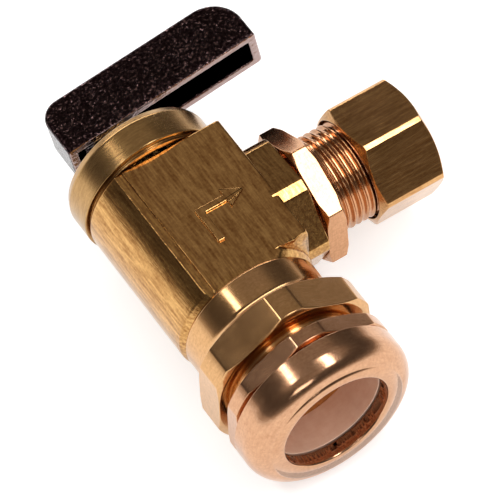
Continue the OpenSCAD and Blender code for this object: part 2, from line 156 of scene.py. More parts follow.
def hex_band(angles, hexagon, low, high, chamfer, edge=0.1):
    """Rows up a hexagonal bar: the lesser of the hexagon and a cone that falls two for one towards
    each end, drawn in along a quarter circle at the end faces."""
    depth = np.concatenate([[0, 0], edge * (1 - np.cos(np.linspace(0.2, 1, 5) * math.pi / 2)),
                            np.linspace(edge, chamfer * 1.25, 18)[1:]])
    inset = np.concatenate([[edge + 0.14, edge], edge * (1 - np.sin(np.linspace(0.2, 1, 5) * math.pi / 2)),
                            np.zeros(17)])
    length = high - low
    middle = np.linspace(depth[-1], length - depth[-1], 7)[1:-1]
    from_low = np.concatenate([depth, middle, length - depth[::-1]])
    inset = np.concatenate([inset, np.zeros(len(middle)), inset[::-1]])[:, None]
    from_end = np.minimum(from_low, length - from_low)[:, None]
    cone = hexagon[2] - 2 * (chamfer - from_end)
    radius = soft_min(hex_radius(angles, hexagon)[None], cone) - inset
    return radius, (low + from_low)[:, None] * np.ones(len(angles))


def thread_band(angles, outer, depth, pitch, low, high, per_turn=16, nose=0.0, inward=False):
    """Rows up a screw thread: the ridge rises one pitch a turn, with straight flanks, a narrow crest and
    a wider root; it fades over half a turn at its foot, and a cone trims it at its nose."""
    count = int((high - low) / pitch * per_turn) + 1
    height = np.linspace(low, high, count)[:, None] * np.ones(len(angles))
    phase = ((height - low) / pitch - angles / TAU) % 1
    ridge = np.clip((0.375 - np.abs(phase - 0.5)) / 0.3125, 0, 1)
    ridge = 0.55 * ridge + 0.45 * ridge ** 2 * (3 - 2 * ridge)
    ridge = ridge * np.clip((height - low) / (0.5 * pitch), 0, 1)
    if inward:
        return outer + depth * (1 - ridge), height
    radius = outer - depth * (1 - ridge)
    if nose:
        radius = soft_min(radius, outer - nose + (high - height), 0.03)
    return radius, height


def stack(*bands):
    """Bands joined into one sheet of radius and height."""
    return np.vstack([b[0] for b in bands]), np.vstack([b[1] for b in bands])


def along_y(radius, height, angles):
    """Sheet round the inlet's axis: height runs along +Y."""
    return np.stack([radius * np.cos(angles), height, -radius * np.sin(angles)], -1)


def along_x(radius, height, angles):
    """Sheet round the outlet's axis: height runs along +X."""
    return np.stack([height, OUTLET_Y + radius * np.sin(angles), -radius * np.cos(angles)], -1)


def grid_faces(rows, cols, wrap_rows, wrap_cols):
    """Four-sided faces between neighbouring rows and columns."""
    r = np.arange(rows if wrap_rows else rows - 1)
    c = np.arange(cols if wrap_cols else cols - 1)
    r0, c0 = np.meshgrid(r, c, indexing="ij")
    r1, c1 = (r0 + 1) % rows, (c0 + 1) % cols
    return np.stack([r0 * cols + c0, r0 * cols + c1, r1 * cols + c1, r1 * cols + c0], -1).reshape(-1, 4)


def tube(points):
    """Closed shell from a sheet that joins up both ways."""
    rows, cols = points.shape[:2]
    return points.reshape(-1, 3), grid_faces(rows, cols, True, True)


def capped(points):
    """Closed shell from a sheet whose columns join up and whose first and last rows shrink to a point."""
    rows, cols = points.shape[:2]
    return points.reshape(-1, 3), grid_faces(rows, cols, False, True)


def outward(points, faces):
    """Faces turned so that the shell's signed volume is positive."""
    p = points[faces]
    volume = (np.einsum("ij,ij->", p[:, 0], np.cross(p[:, 1], p[:, 2]))
              + np.einsum("ij,ij->", p[:, 0], np.cross(p[:, 2], p[:, 3])))
    return faces if volume > 0 else faces[:, ::-1]


def turned(points, angle=LEVER_TURN):
    """Points turned with the lever about the stem's axis."""
    x, y, z = points[..., 0], points[..., 1], points[..., 2]
    return np.stack([x * math.cos(angle) - z * math.sin(angle), y,
                     x * math.sin(angle) + z * math.cos(angle)], -1)


def piece(name, body, nodes, shells, material):
    """One named object from closed shells given in millimetres, that stands for CAD nodes and rides on a
    body. A shell is its points, its four-sided faces and any triangles that close it."""
    points, faces, start = [], [], 0
    for shell_points, shell_faces, *lids in shells:
        turned_faces = outward(shell_points - shell_points.mean(0), shell_faces)
        faces += (turned_faces + start).tolist()
        for lid in lids:
            faces += (lid + start).tolist()
        points.append(shell_points * MM)
        start += len(shell_points)
    mesh = bpy.data.meshes.new(name)
    mesh.from_pydata(np.vstack(points), [], faces)
    tidy = bmesh.new()
    tidy.from_mesh(mesh)
    bmesh.ops.remove_doubles(tidy, verts=tidy.verts, dist=2e-7)
    bmesh.ops.dissolve_degenerate(tidy, edges=tidy.edges, dist=1e-7)
    tidy.to_mesh(mesh)
    tidy.free()
    mesh.polygons.foreach_set("use_smooth", np.ones(len(mesh.polygons), bool))
    mesh.materials.append(material)
    thing = bpy.data.objects.new(name, mesh)
    bpy.context.scene.collection.objects.link(thing)
    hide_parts(*nodes)
    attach(thing, body)
    return thing


# ---------------------------------------------------------------- finishes

def feed(tree, socket, value):
    """A socket linked to another one, or set to a number or a colour."""
    if isinstance(value, bpy.types.NodeSocket):
        tree.links.new(value, socket)
    else:
        socket.default_value = value


def calculate(tree, operation, first, second):
    """Result of a sum on two sockets or numbers."""
    made = tree.nodes.new("ShaderNodeMath")
    made.operation = operation
    feed(tree, made.inputs[0], first)
    feed(tree, made.inputs[1], second)
    return made.outputs[0]


def blend(tree, factor, first, second):
    """Colour that goes from the first to the second as the factor goes from 0 to 1."""
    made = tree.nodes.new("ShaderNodeMix")
    made.data_type = "RGBA"
    feed(tree, made.inputs["Factor"], factor)
    feed(tree, made.inputs["A"], first)
    feed(tree, made.inputs["B"], second)
    return made.outputs["Result"]


def finish(name, light, deep, roughness, grain, grain_depth, mottle=900, contrast=(0.35, 0.7),
           rough_swing=0.08, metallic=1.0, pits=0.0, pit_size=2500, line_tone=0.25):
    """Finish with a two-tone mottle, a drawn-out grain in the surface and slow changes of gloss. The line
    tone is the grain's share in the colour; pits are a second, rounder roughness, by their depth."""
    material = bpy.data.materials.new(name)
    material.use_nodes = True
    tree = material.node_tree
    nodes, links = tree.nodes, tree.links
    shader = nodes["Principled BSDF"]
    shader.inputs["Metallic"].default_value = metallic
    place = nodes.new("ShaderNodeTexCoord").outputs["Object"]

    def noise(scale, vector, detail=3.0, rough=0.55):
        made = nodes.new("ShaderNodeTexNoise")
        made.inputs["Scale"].default_value = scale
        made.inputs["Detail"].default_value = detail
        made.inputs["Roughness"].default_value = rough
        links.new(vector, made.inputs["Vector"])
        return made.outputs["Fac"]

    def spread(value, low, high, to_low, to_high):
        made = nodes.new("ShaderNodeMapRange")
        made.inputs["From Min"].default_value = low
        made.inputs["From Max"].default_value = high
        made.inputs["To Min"].default_value = to_low
        made.inputs["To Max"].default_value = to_high
        links.new(value, made.inputs["Value"])
        return made.outputs["Result"]

    drawn = nodes.new("ShaderNodeMapping")
    drawn.inputs["Scale"].default_value = grain
    links.new(place, drawn.inputs["Vector"])
    lines = noise(1.0, drawn.outputs["Vector"], 4.0, 0.6)

    cloud = noise(mottle, place, 4.0, 0.6)
    share = calculate(tree, "ADD", spread(cloud, *contrast, 0.0, 1 - line_tone),
                      spread(lines, 0.35, 0.65, 0.0, line_tone))
    links.new(blend(tree, share, (*deep, 1), (*light, 1)), shader.inputs["Base Color"])
    gloss = spread(noise(260, place), 0.3, 0.7, max(roughness - rough_swing, 0.02), roughness + rough_swing)
    links.new(gloss, shader.inputs["Roughness"])

    def bump(height, depth):
        made = nodes.new("ShaderNodeBump")
        made.inputs["Strength"].default_value = 1.0
        made.inputs["Distance"].default_value = depth
        links.new(height, made.inputs["Height"])
        return made

    surface = bump(lines, grain_depth)
    if pits:
        pitted = bump(noise(pit_size, place, 2.0, 0.5), pits)
        links.new(surface.outputs["Normal"], pitted.inputs["Normal"])
        surface = pitted
    links.new(surface.outputs["Normal"], shader.inputs["Normal"])
    return material


forged = finish("forged brass", (0.70, 0.41, 0.15), (0.26, 0.11, 0.03), 0.13, (2300, 260, 2300), 2.2e-5,
                mottle=2600, contrast=(0.3, 0.75), rough_swing=0.04, pits=5e-6, pit_size=5200, line_tone=0.6)
turned_y = finish("turned brass, inlet axis", (0.68, 0.40, 0.19), (0.46, 0.245, 0.10), 0.16,
                  (500, 6200, 500), 5e-6, mottle=2400, contrast=(0.2, 0.85), rough_swing=0.03)
turned_x = finish("turned brass, outlet axis", (0.66, 0.36, 0.19), (0.42, 0.195, 0.09), 0.15,
                  (6200, 500, 500), 5e-6, mottle=2400, contrast=(0.2, 0.85), rough_swing=0.03)
nose_brass = finish("tumbled nut brass", (0.66, 0.39, 0.23), (0.44, 0.22, 0.12), 0.16,
                    (500, 5200, 500), 3e-6, mottle=2400, contrast=(0.2, 0.85), rough_swing=0.03,
                    pits=2.5e-6, pit_size=4200)
hex_brass = finish("drawn nut brass", (0.72, 0.42, 0.18), (0.36, 0.16, 0.05), 0.17,
                   (300, 2900, 2900), 1.4e-5, mottle=2400, contrast=(0.2, 0.85), rough_swing=0.03,
                   line_tone=0.55)
cap_brass = finish("cap brass", (0.48, 0.29, 0.12), (0.30, 0.17, 0.065), 0.24,
                   (500, 3400, 500), 1.2e-5, mottle=2400, contrast=(0.2, 0.85), rough_swing=0.04,
                   line_tone=0.5)
sleeve_brass = finish("sleeve brass", (0.94, 0.68, 0.52), (0.86, 0.57, 0.41), 0.45,
                      (300, 2600, 300), 1.2e-6, mottle=900, metallic=0.45)
stem_brass = finish("stem brass", (0.80, 0.57, 0.28), (0.62, 0.40, 0.17), 0.2,
                    (500, 4800, 500), 2.5e-6, mottle=420)
# Dark lever plating: the sparse pale patches of its two-tone mottle are painted glints; the pits are a real
# bump in the surface.
lever_plating_painted_glints = finish("dark plating with painted glints", (0.42, 0.27, 0.27), (0.007, 0.002, 0.003), 0.10,
                       (3200, 3200, 1100), 4e-5, mottle=2300, contrast=(0.55, 0.74), rough_swing=0.04,
                       pits=1.6e-4, pit_size=1700, line_tone=0.06)
ball_chrome = finish("ball plating", (0.80, 0.81, 0.83), (0.72, 0.73, 0.75), 0.07,
                     (900, 900, 900), 3e-7, mottle=300, rough_swing=0.03)
steel = finish("plain steel", (0.62, 0.62, 0.64), (0.46, 0.46, 0.48), 0.26, (700, 4200, 700), 3e-6)
seat_plastic = finish("seat plastic", (0.90, 0.90, 0.87), (0.84, 0.84, 0.80), 0.42, (900, 900, 900), 2e-6,
                      metallic=0.0, mottle=300)
seal_rubber = finish("seal rubber", (0.030, 0.030, 0.031), (0.018, 0.018, 0.019), 0.5, (1500, 1500, 1500),
                     3e-6, metallic=0.0)


def recolour(material, mask, colour):
    """The finish's own colour where the mask is 0 and another where it is 1."""
    tree = material.node_tree
    base = tree.nodes["Principled BSDF"].inputs["Base Color"]
    tree.links.new(blend(tree, mask, base.links[0].from_socket, (*colour, 1)), base)


def satin_bore(material, radius, colour, metallic=0.45, roughness=0.45):
    """Paler, satin metal inside a radius about the inlet's axis, where the tube goes in."""
    tree = material.node_tree
    nodes, links = tree.nodes, tree.links
    shader = nodes["Principled BSDF"]
    flat = nodes.new("ShaderNodeVectorMath")
    flat.operation = "MULTIPLY"
    flat.inputs[1].default_value = (1, 0, 1)
    links.new(nodes.new("ShaderNodeTexCoord").outputs["Object"], flat.inputs[0])
    away = nodes.new("ShaderNodeVectorMath")
    away.operation = "LENGTH"
    links.new(flat.outputs["Vector"], away.inputs[0])
    inside = calculate(tree, "LESS_THAN", away.outputs["Value"], radius)
    recolour(material, inside, colour)
    for socket, inner in (("Metallic", metallic), ("Roughness", roughness)):
        level = nodes.new("ShaderNodeMix")
        level.inputs["A"].default_value = shader.inputs[socket].default_value
        level.inputs["B"].default_value = inner
        links.new(inside, level.inputs["Factor"])
        if shader.inputs[socket].links:
            links.new(shader.inputs[socket].links[0].from_socket, level.inputs["A"])
        links.new(level.outputs["Result"], shader.inputs[socket])


def pale_rim_painted_reflection(material, height, colour):
    """Paler colour below a height on the stem's axis: a painted reflection on the lever's rim."""
    tree = material.node_tree
    parts = tree.nodes.new("ShaderNodeSeparateXYZ")
    tree.links.new(tree.nodes.new("ShaderNodeTexCoord").outputs["Object"], parts.inputs[0])
    recolour(material, calculate(tree, "LESS_THAN", parts.outputs["Y"], height), colour)


satin_bore(turned_y, radius=0.0083, colour=(0.90, 0.62, 0.46))
# The lever's rim, below 55.2 mm on the stem's axis, gets a paler colour: a painted reflection.
pale_rim_painted_reflection(lever_plating_painted_glints, height=0.0552, colour=(0.38, 0.28, 0.26))

KEPT = {
    "ball": ball_chrome, "stem": stem_brass, "stop_plate": steel, "stem_nut": steel,
    "handle_washer": steel, "handle_screw": steel, "thrust_washer": seat_plastic,
    "inlet_seat": seat_plastic, "upper_seat": seat_plastic, "outlet_seat": seat_plastic,
    "inlet_adapter_oring": seal_rubber, "outlet_adapter_oring": seal_rubber, "bonnet_oring": seal_rubber,
    "stem_oring_lower": seal_rubber, "stem_oring_upper": seal_rubber,
}
for node_name, material in KEPT.items():
    for material_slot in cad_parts[node_name].material_slots:
        material_slot.material = material


# ---------------------------------------------------------------- inlet end

def inlet_nut():
    """Domed nose, turned step and short hexagon, hollow for the sleeve and the thread."""
    angles = hex_angles(INLET_NUT_HEX)
    arc = np.linspace(0.06, 1, 14) * math.pi / 2
    dome = np.column_stack([12.7 - 2.9 * (1 - np.sin(arc)), 3.2 * (1 - np.cos(arc))])
    nose = soften([(MOUTH_R, 2.0), (MOUTH_R, 0.0, 0.38), (dome[0, 0], 0.0)], 0.3, 7)
    waist = soften([(12.7, 3.3), (12.7, 5.2, 0.1), (11.75, 5.28, 0.06), (11.75, INLET_NUT_HEX_LOW, 0.05),
                    (12.0, INLET_NUT_HEX_LOW)])
    inside = soften([(11.6, INLET_NUT_HEX_HIGH), (10.9, INLET_NUT_HEX_HIGH, 0.1), (10.55, 7.7, 0.08),
                     (10.55, 7.4)])
    cone = soften([(10.55, 3.9), (10.55, 3.8, 0.05), (8.95, 2.1, 0.1), (MOUTH_R, 2.1, 0.08), (MOUTH_R, 1.9)])
    radius, height = stack(
        lathe_band(nose, angles), lathe_band(dome, angles), lathe_band(waist, angles),
        hex_band(angles, INLET_NUT_HEX, INLET_NUT_HEX_LOW, INLET_NUT_HEX_HIGH, chamfer=0.35),
        lathe_band(inside, angles),
        tuple(b[::-1] for b in thread_band(angles, 10.55, 0.18, INLET_PITCH, 4.0, 7.4, inward=True)),
        lathe_band(cone, angles))
    return tube(along_y(radius, height, angles))


def inlet_adapter():
    """Threaded nose, hexagon, flare and neck in one turned bar, bored for the tube."""
    angles = hex_angles(INLET_HEX)
    nose = soften([(9.2, 5.9), (9.45, 5.62, 0.05), (9.7, 5.62)])
    root = soften([(9.75, 9.6), (9.75, INLET_HEX_LOW, 0.08), (11.3, INLET_HEX_LOW)])
    neck = soften([(11.7, INLET_HEX_HIGH), (11.25, INLET_HEX_HIGH, 0.15), (10.4, 16.2, 0.5), (10.4, 20.6, 0.1),
                   (10.2, 20.88, 0.08), (6.9, 20.9, 0.1), (6.9, 22.1, 0.1), (7.6, 22.2, 0.1),
                   (7.6, 27.4, 0.1), (3.9, 27.4, 0.1), (3.9, 17.0, 0.1), (MOUTH_R, 17.0, 0.1),
                   (MOUTH_R, 9.5, 0.1), (9.2, 5.95)])
    radius, height = stack(
        lathe_band(nose, angles),
        thread_band(angles, 10.3, 0.6, INLET_PITCH, 5.75, 9.6),
        lathe_band(root, angles),
        hex_band(angles, INLET_HEX, INLET_HEX_LOW, INLET_HEX_HIGH, chamfer=0.45),
        lathe_band(neck, angles))
    return tube(along_y(radius, height, angles))


def inlet_ferrule():
    """Soft brass sleeve, thickest in the middle and tapered to both ends."""
    angles = round_angles()
    outline = soften([(MOUTH_R, 5.0), (MOUTH_R, 2.42, 0.14), (8.74, 2.42, 0.16), (9.4, 3.4, 0.2),
                      (9.4, 5.1, 0.3), (8.2, 7.78, 0.1), (MOUTH_R, 7.78, 0.08), (MOUTH_R, 5.1)])
    return tube(along_y(*lathe_band(outline, angles), angles))


# ---------------------------------------------------------------- body and cap

def body_outline(angles):
    """Distance from the barrel's axis to its wall at each angle: the least of the two side flats, the
    outlet's face and, on the far side, the round barrel with a narrow ledge beside each flat."""
    away, ledge_start, ledge_slope = 99.0, -5.05, 0.22
    c, s = np.cos(angles), np.maximum(np.abs(np.sin(angles)), 1e-6)
    flat = BODY_FLAT / s
    face = np.where(c > 0, BODY_FACE / np.maximum(c, 1e-6), away)
    barrel = np.where(c < 0, BARREL_R, away)
    x_at_flat = BODY_FLAT * c / s
    ledge = np.where(x_at_flat < ledge_start + 0.05, BODY_LEDGE / s, away)
    step = np.clip((ledge_start - x_at_flat) / ledge_slope, 0, 1)
    flat = flat * (1 - step) + np.minimum(ledge, flat) * step
    return soft_min(soft_min(flat, face, 0.35), barrel, 0.05)


def valve_body():
    """Barrel, side flats and outlet block in one sheet: the wall's distance from the axis is the lesser of
    the outline and a round foot, and the rims are drawn in along small curves. Columns crowd together where
    the outline bends."""
    coarse = np.linspace(0, TAU, 2401)[:-1]
    x, z = body_outline(coarse) * (np.cos(coarse), np.sin(coarse))
    heading = np.unwrap(np.arctan2(np.gradient(z), np.gradient(x)))
    bend = np.abs(np.diff(heading, append=0))
    weight = np.cumsum(0.0026 + np.minimum(bend, 0.06))
    columns = 420
    angles = np.interp(np.arange(columns) / columns * weight[-1], weight, coarse)
    wall = body_outline(angles)
    rim, beyond = 0.32, 15.0
    foot = soften([(7.9, BODY_FOOT), (10.0, BODY_FOOT, 0.08), (10.7, 21.8, 0.25), (10.7, 22.36, 0.03),
                   (13.2, 22.42, 0.1), (14.4, 22.9, 0.2), (beyond, 24.0)], 0.1, 7)
    rise = np.linspace(24.5, 43.6, 22)
    head_arc = np.linspace(0, 1, 8) * math.pi / 2
    heights = np.concatenate([foot[:, 1], rise, BODY_HEAD - rim + rim * np.sin(head_arc)])
    rounds = np.concatenate([foot[:, 0], np.full(len(rise) + len(head_arc), beyond)])
    inset = np.concatenate([np.zeros(len(foot) + len(rise)), rim * (1 - np.cos(head_arc))])
    radius = soft_min(wall[None], rounds[:, None], 0.04) - inset[:, None]
    bore = soften([(9.4, BODY_HEAD), (7.75, BODY_HEAD, 0.1), (7.75, 41.0, 0.1), (7.4, 41.0, 0.1),
                   (7.4, 27.5, 0.1), (7.75, 27.5, 0.1), (7.75, BODY_FOOT, 0.1), (7.85, BODY_FOOT)])
    inner, inner_heights = lathe_band(bore, angles)
    radius = np.vstack([radius, inner])
    height = np.vstack([heights[:, None] * np.ones(len(angles)), inner_heights])
    return tube(along_y(radius, height, angles))


def outlet_boss():
    """Six-sided boss with turned corners, from the block to the outlet's hexagon. The outline gives how far
    each row is drawn in from the wall, and its place along the axis."""
    angles = hex_angles(BOSS_HEX)
    wall = hex_radius(angles, BOSS_HEX)
    outline = soften([(1.5, BOSS_START), (0.0, BOSS_START, 0.1), (0.0, BOSS_END, 0.16), (1.2, BOSS_END)],
                     steps=7)
    bore = soften([(6.6, BOSS_END), (6.3, BOSS_END, 0.06), (6.3, BOSS_START)])
    inner, inner_heights = lathe_band(bore, angles)
    radius = np.vstack([wall[None] - outline[:, :1], inner])
    height = np.vstack([outline[:, 1:2] * np.ones(len(angles)), inner_heights])
    return tube(along_x(radius, height, angles))


def raised_shape(corners, floor_z, top_z, cut=0.16, edge=0.12):
    """Low raised shape: a rounded outline drawn in along a quarter circle at the top, closed by flat
    triangles above and below."""
    corners = [tuple(c) for c in corners]
    seam = tuple((np.array(corners[-1]) + np.array(corners[0])) / 2)
    outline = soften([seam] + corners + [seam], cut, 5)[:-1]
    along = np.roll(outline, -1, 0) - np.roll(outline, 1, 0)
    along /= np.hypot(along[:, 0], along[:, 1])[:, None]
    normal = np.column_stack([along[:, 1], -along[:, 0]])
    x, y = outline.T
    if np.sum(x * np.roll(y, -1) - y * np.roll(x, -1)) < 0:
        normal = -normal
    arc = np.linspace(0, 1, 5) * math.pi / 2
    inset = np.concatenate([[0], edge * (1 - np.cos(arc)), [edge + 0.04]])
    level = np.concatenate([[floor_z], top_z - edge * (1 - np.sin(arc)), [top_z]])
    sheet = np.stack([np.column_stack([outline - normal * i, np.full(len(outline), z)])
                      for i, z in zip(inset, level)])
    rows, cols = sheet.shape[:2]
    flat = np.array(tessellate_polygon([[Vector((*p, 0)) for p in outline]]))
    lids = np.vstack([flat[:, ::-1], flat + (rows - 1) * cols])
    return sheet.reshape(-1, 3), grid_faces(rows, cols, False, True), lids


def flow_arrow():
    """Raised arrow on the upper flat: a shaft from the inlet's side that turns to a head at the outlet."""
    corners = [(-0.4, -5.5), (0.7, -5.5), (0.7, -0.55), (4.15, -0.55), (4.15, -1.65), (7.0, 0.0),
               (4.15, 1.65), (4.15, 0.55), (-0.4, 0.55)]
    return raised_shape([(x, OUTLET_Y + y) for x, y in corners], BODY_FLAT - 0.3, BODY_FLAT + 0.3)


def bonnet_cap():
    """Turned cap: groove under the flange, straight side, long chamfer and a flat top round the stem."""
    angles = round_angles(288)
    outline = soften([(7.0, 42.0), (7.6, 42.0, 0.1), (7.6, 43.4, 0.1), (6.9, 43.5, 0.1), (6.9, 44.52, 0.05),
                      (10.2, 44.52, 0.06), (10.2, 44.9, 0.06), (11.0, 44.94, 0.16), (11.0, 49.1, 0.22),
                      (10.5, CAP_TOP, 0.16), (9.2, CAP_TOP, 0.1), (3.9, CAP_TOP, 0.1),
                      (3.56, CAP_TOP - 0.3, 0.08), (3.56, 43.6, 0.1), (7.0, 42.2)])
    return tube(along_y(*lathe_band(outline, angles), angles))


def arc_block(inner, outer, low, high, start, sweep, edge=0.15, count=90):
    """Block bent round the stem's axis: a rounded rectangle carried along an arc, closed at both ends."""
    section = soften([(inner, (low + high) / 2), (inner, high, edge), (outer, high, edge), (outer, low, edge),
                      (inner, low, edge), (inner, (low + high) / 2)], edge, 4)[:-1]
    middle = np.array([(inner + outer) / 2, (low + high) / 2])
    ease = np.array([0, 0.90, 0.955, 0.985, 1.0])
    shift = np.array([0, 0, 0.01, 0.035, 0.09]) / outer
    size = np.concatenate([ease, np.ones(count), ease[::-1]])
    inner_sweep = np.linspace(shift[-1], sweep - shift[-1], count + 2)[1:-1]
    angle = start + np.concatenate([shift, inner_sweep, sweep - shift[::-1]])
    ring = middle + (section - middle)[None] * size[:, None, None]
    radius, height = ring[..., 0], ring[..., 1]
    return capped(np.stack([radius * np.cos(angle)[:, None], height, -radius * np.sin(angle)[:, None]], -1))


def stop_block():
    """Block on the cap's top, whose two ends stop the plate."""
    return arc_block(inner=5.6, outer=8.4, low=CAP_TOP - 0.2, high=CAP_TOP + 1.5,
                     start=math.radians(46), sweep=math.radians(178))


# ---------------------------------------------------------------- outlet end

def outlet_adapter():
    """Tail in the boss, hexagon, short collar and a long threaded nose with a cone mouth."""
    angles = hex_angles(OUTLET_HEX)
    tail = soften([(3.75, 8.0), (6.25, 7.95, 0.1), (6.25, 13.2, 0.1), (5.6, 13.2, 0.1), (5.6, 14.2, 0.1),
                   (7.62, 14.32, 0.06), (7.62, OUTLET_HEX_START, 0.05), (8.0, OUTLET_HEX_START)])
    collar = soften([(8.2, OUTLET_HEX_END), (7.45, OUTLET_HEX_END, 0.1), (7.3, 18.15, 0.1),
                     (6.68, 18.5, 0.1), (6.66, 18.68)])
    mouth = soften([(6.55, 28.0), (6.4, 28.2, 0.06), (6.12, 28.2, 0.05), (OUTLET_MOUTH_R, 25.4, 0.1),
                    (OUTLET_MOUTH_R, 21.0, 0.1), (3.7, 21.0, 0.1), (3.7, 8.05)])
    radius, height = stack(
        lathe_band(tail, angles),
        hex_band(angles, OUTLET_HEX, OUTLET_HEX_START, OUTLET_HEX_END, chamfer=0.45),
        lathe_band(collar, angles),
        thread_band(angles, 7.14, 0.5, OUTLET_PITCH, 18.68, 27.95, nose=0.45),
        lathe_band(mouth, angles))
    return tube(along_x(radius, height, angles))


def outlet_nut():
    """Long hexagon with a turned chamfer at each end, threaded inside and lipped over the sleeve."""
    angles = hex_angles(OUTLET_NUT_HEX, land_count=3)
    lead = soften([(7.44, 24.0), (7.44, 23.7, 0.05), (7.5, OUTLET_NUT_START, 0.03), (7.54, OUTLET_NUT_START)])
    lip = soften([(7.1, OUTLET_NUT_END), (5.2, OUTLET_NUT_END, 0.1), (OUTLET_MOUTH_R, 33.5, 0.06),
                  (OUTLET_MOUTH_R, 31.8, 0.05), (5.8, 31.75, 0.1), (7.39, 30.4, 0.1), (7.39, 30.2)])
    radius, height = stack(
        lathe_band(lead, angles),
        hex_band(angles, OUTLET_NUT_HEX, OUTLET_NUT_START, OUTLET_NUT_END, chamfer=0.65, edge=0.05),
        lathe_band(lip, angles),
        tuple(b[::-1] for b in thread_band(angles, 7.39, 0.14, OUTLET_PITCH, 24.0, 30.0, inward=True)))
    return tube(along_x(radius, height, angles))


def outlet_ferrule():
    """Small soft brass sleeve with a long cone into the adapter."""
    angles = round_angles(160)
    outline = soften([(OUTLET_MOUTH_R, 29.0), (OUTLET_MOUTH_R, 26.62, 0.06), (5.05, 26.62, 0.06),
                      (5.87, 28.4, 0.15), (6.21, 28.8, 0.15), (6.21, 30.3, 0.2), (5.5, 31.48, 0.1),
                      (OUTLET_MOUTH_R, 31.48, 0.1), (OUTLET_MOUTH_R, 29.1)])
    return tube(along_x(*lathe_band(outline, angles), angles))


# ---------------------------------------------------------------- lever

def channel_sheet(x_low, x_high, y_low, y_high, half_width, back_r, front_r, edge):
    """Sheet over a channel's outside or inside, from the foot of one side, over the outline seen from the
    side with its two round corners, to the foot of the other side. Columns follow the outline; rows climb
    the side, turn a quarter circle at the edge, cross the width and come down again."""
    def turn_corner(cx, cy, r, start, end, count):
        a = np.linspace(start, end, count)
        normal = np.column_stack([np.cos(a), np.sin(a)])
        return np.array([cx, cy]) + r * normal, normal

    def straight(start, end, normal, count):
        t = np.linspace(0, 1, count)[:, None]
        return np.array(start) * (1 - t) + np.array(end) * t, np.tile(normal, (count, 1))

    parts = [
        straight((x_low, y_low), (x_low, y_high - back_r), (-1.0, 0.0), 9),
        turn_corner(x_low + back_r, y_high - back_r, back_r, math.pi, math.pi / 2, 19),
        straight((x_low + back_r, y_high), (x_high - front_r, y_high), (0.0, 1.0), 60),
        turn_corner(x_high - front_r, y_high - front_r, front_r, math.pi / 2, 0, 25),
        straight((x_high, y_high - front_r), (x_high, y_low), (1.0, 0.0), 9)]
    line = np.vstack([p[0] for p in parts])
    normal = np.vstack([p[1] for p in parts])
    travelled = np.concatenate([[0], np.cumsum(np.hypot(*np.diff(line, axis=0).T))])
    share = travelled / travelled[-1]
    foot = np.column_stack([x_low + edge + (x_high - x_low - 2 * edge) * share, np.full(len(line), y_low)])
    drawn_in = line - normal * edge
    drawn_in[:, 1] = np.maximum(drawn_in[:, 1], y_low)
    climb = np.array([0, 0.012, 0.05, 0.15, 0.3, 0.5, 0.7, 0.85, 0.95, 0.985])[:, None, None]
    side = foot[None] * (1 - climb) + drawn_in[None] * climb
    quarter = np.linspace(0, 1, 7) * math.pi / 2
    bend = line[None] - normal[None] * (edge * (1 - np.sin(quarter)))[:, None, None]
    bend[..., 1] = np.maximum(bend[..., 1], y_low)
    across = np.array([0.97, 0.9, 0.6, 0.3, 0.0]) * (half_width - edge)
    top = np.repeat(line[None], len(across), 0)
    upper = np.concatenate([side, bend, top])
    z = np.concatenate([np.full(len(climb), half_width), half_width - edge * (1 - np.cos(quarter)), across])
    sheet = np.concatenate([upper, upper[:-1][::-1]])
    z = np.concatenate([z, -z[:-1][::-1]])[:, None] * np.ones(len(line))
    return np.stack([sheet[..., 0], sheet[..., 1], z], -1)


def rim_loop(sheet):
    """The sheet's edge as one closed loop."""
    return np.concatenate([sheet[0], sheet[1:, -1], sheet[-1, ::-1][1:], sheet[::-1, 0][1:-1]])


def lever():
    """Channel open below: an outer sheet, an inner sheet and a rounded rim between their edges."""
    soft = 0.28
    outer = channel_sheet(LEVER_BACK, LEVER_TIP, LEVER_FOOT + soft, LEVER_TOP,
                          LEVER_HALF_WIDTH, back_r=3.0, front_r=5.0, edge=0.55)
    inner = channel_sheet(LEVER_BACK + LEVER_WALL, LEVER_TIP - LEVER_WALL, LEVER_FOOT + soft, LEVER_TOP - 1.8,
                          LEVER_HALF_WIDTH - LEVER_WALL, back_r=1.2, front_r=3.6, edge=0.4)
    a = np.linspace(0, 1, 5)[1:] * math.pi / 2
    across = soft * (1 - np.cos(a)) / LEVER_WALL
    share = np.concatenate([across, [0.3, 0.5, 0.7], 1 - across[::-1]])
    drop = np.concatenate([soft * (1 - np.sin(a)), [0, 0, 0], soft * (1 - np.sin(a))[::-1]])
    out_loop, in_loop = rim_loop(outer), rim_loop(inner)
    rim = out_loop[None] * (1 - share)[:, None, None] + in_loop[None] * share[:, None, None]
    rim[..., 1] = LEVER_FOOT + drop[:, None]
    rim = np.concatenate([out_loop[None], rim, in_loop[None]])
    outer_faces = grid_faces(*outer.shape[:2], False, False)
    sheet_size = outer.shape[0] * outer.shape[1]
    inner_faces = grid_faces(*inner.shape[:2], False, False)[:, ::-1] + sheet_size
    rim_faces = grid_faces(*rim.shape[:2], False, True) + 2 * sheet_size
    points = np.concatenate([outer.reshape(-1, 3), inner.reshape(-1, 3), rim.reshape(-1, 3)])
    return turned(points), np.vstack([outer_faces, inner_faces, rim_faces])


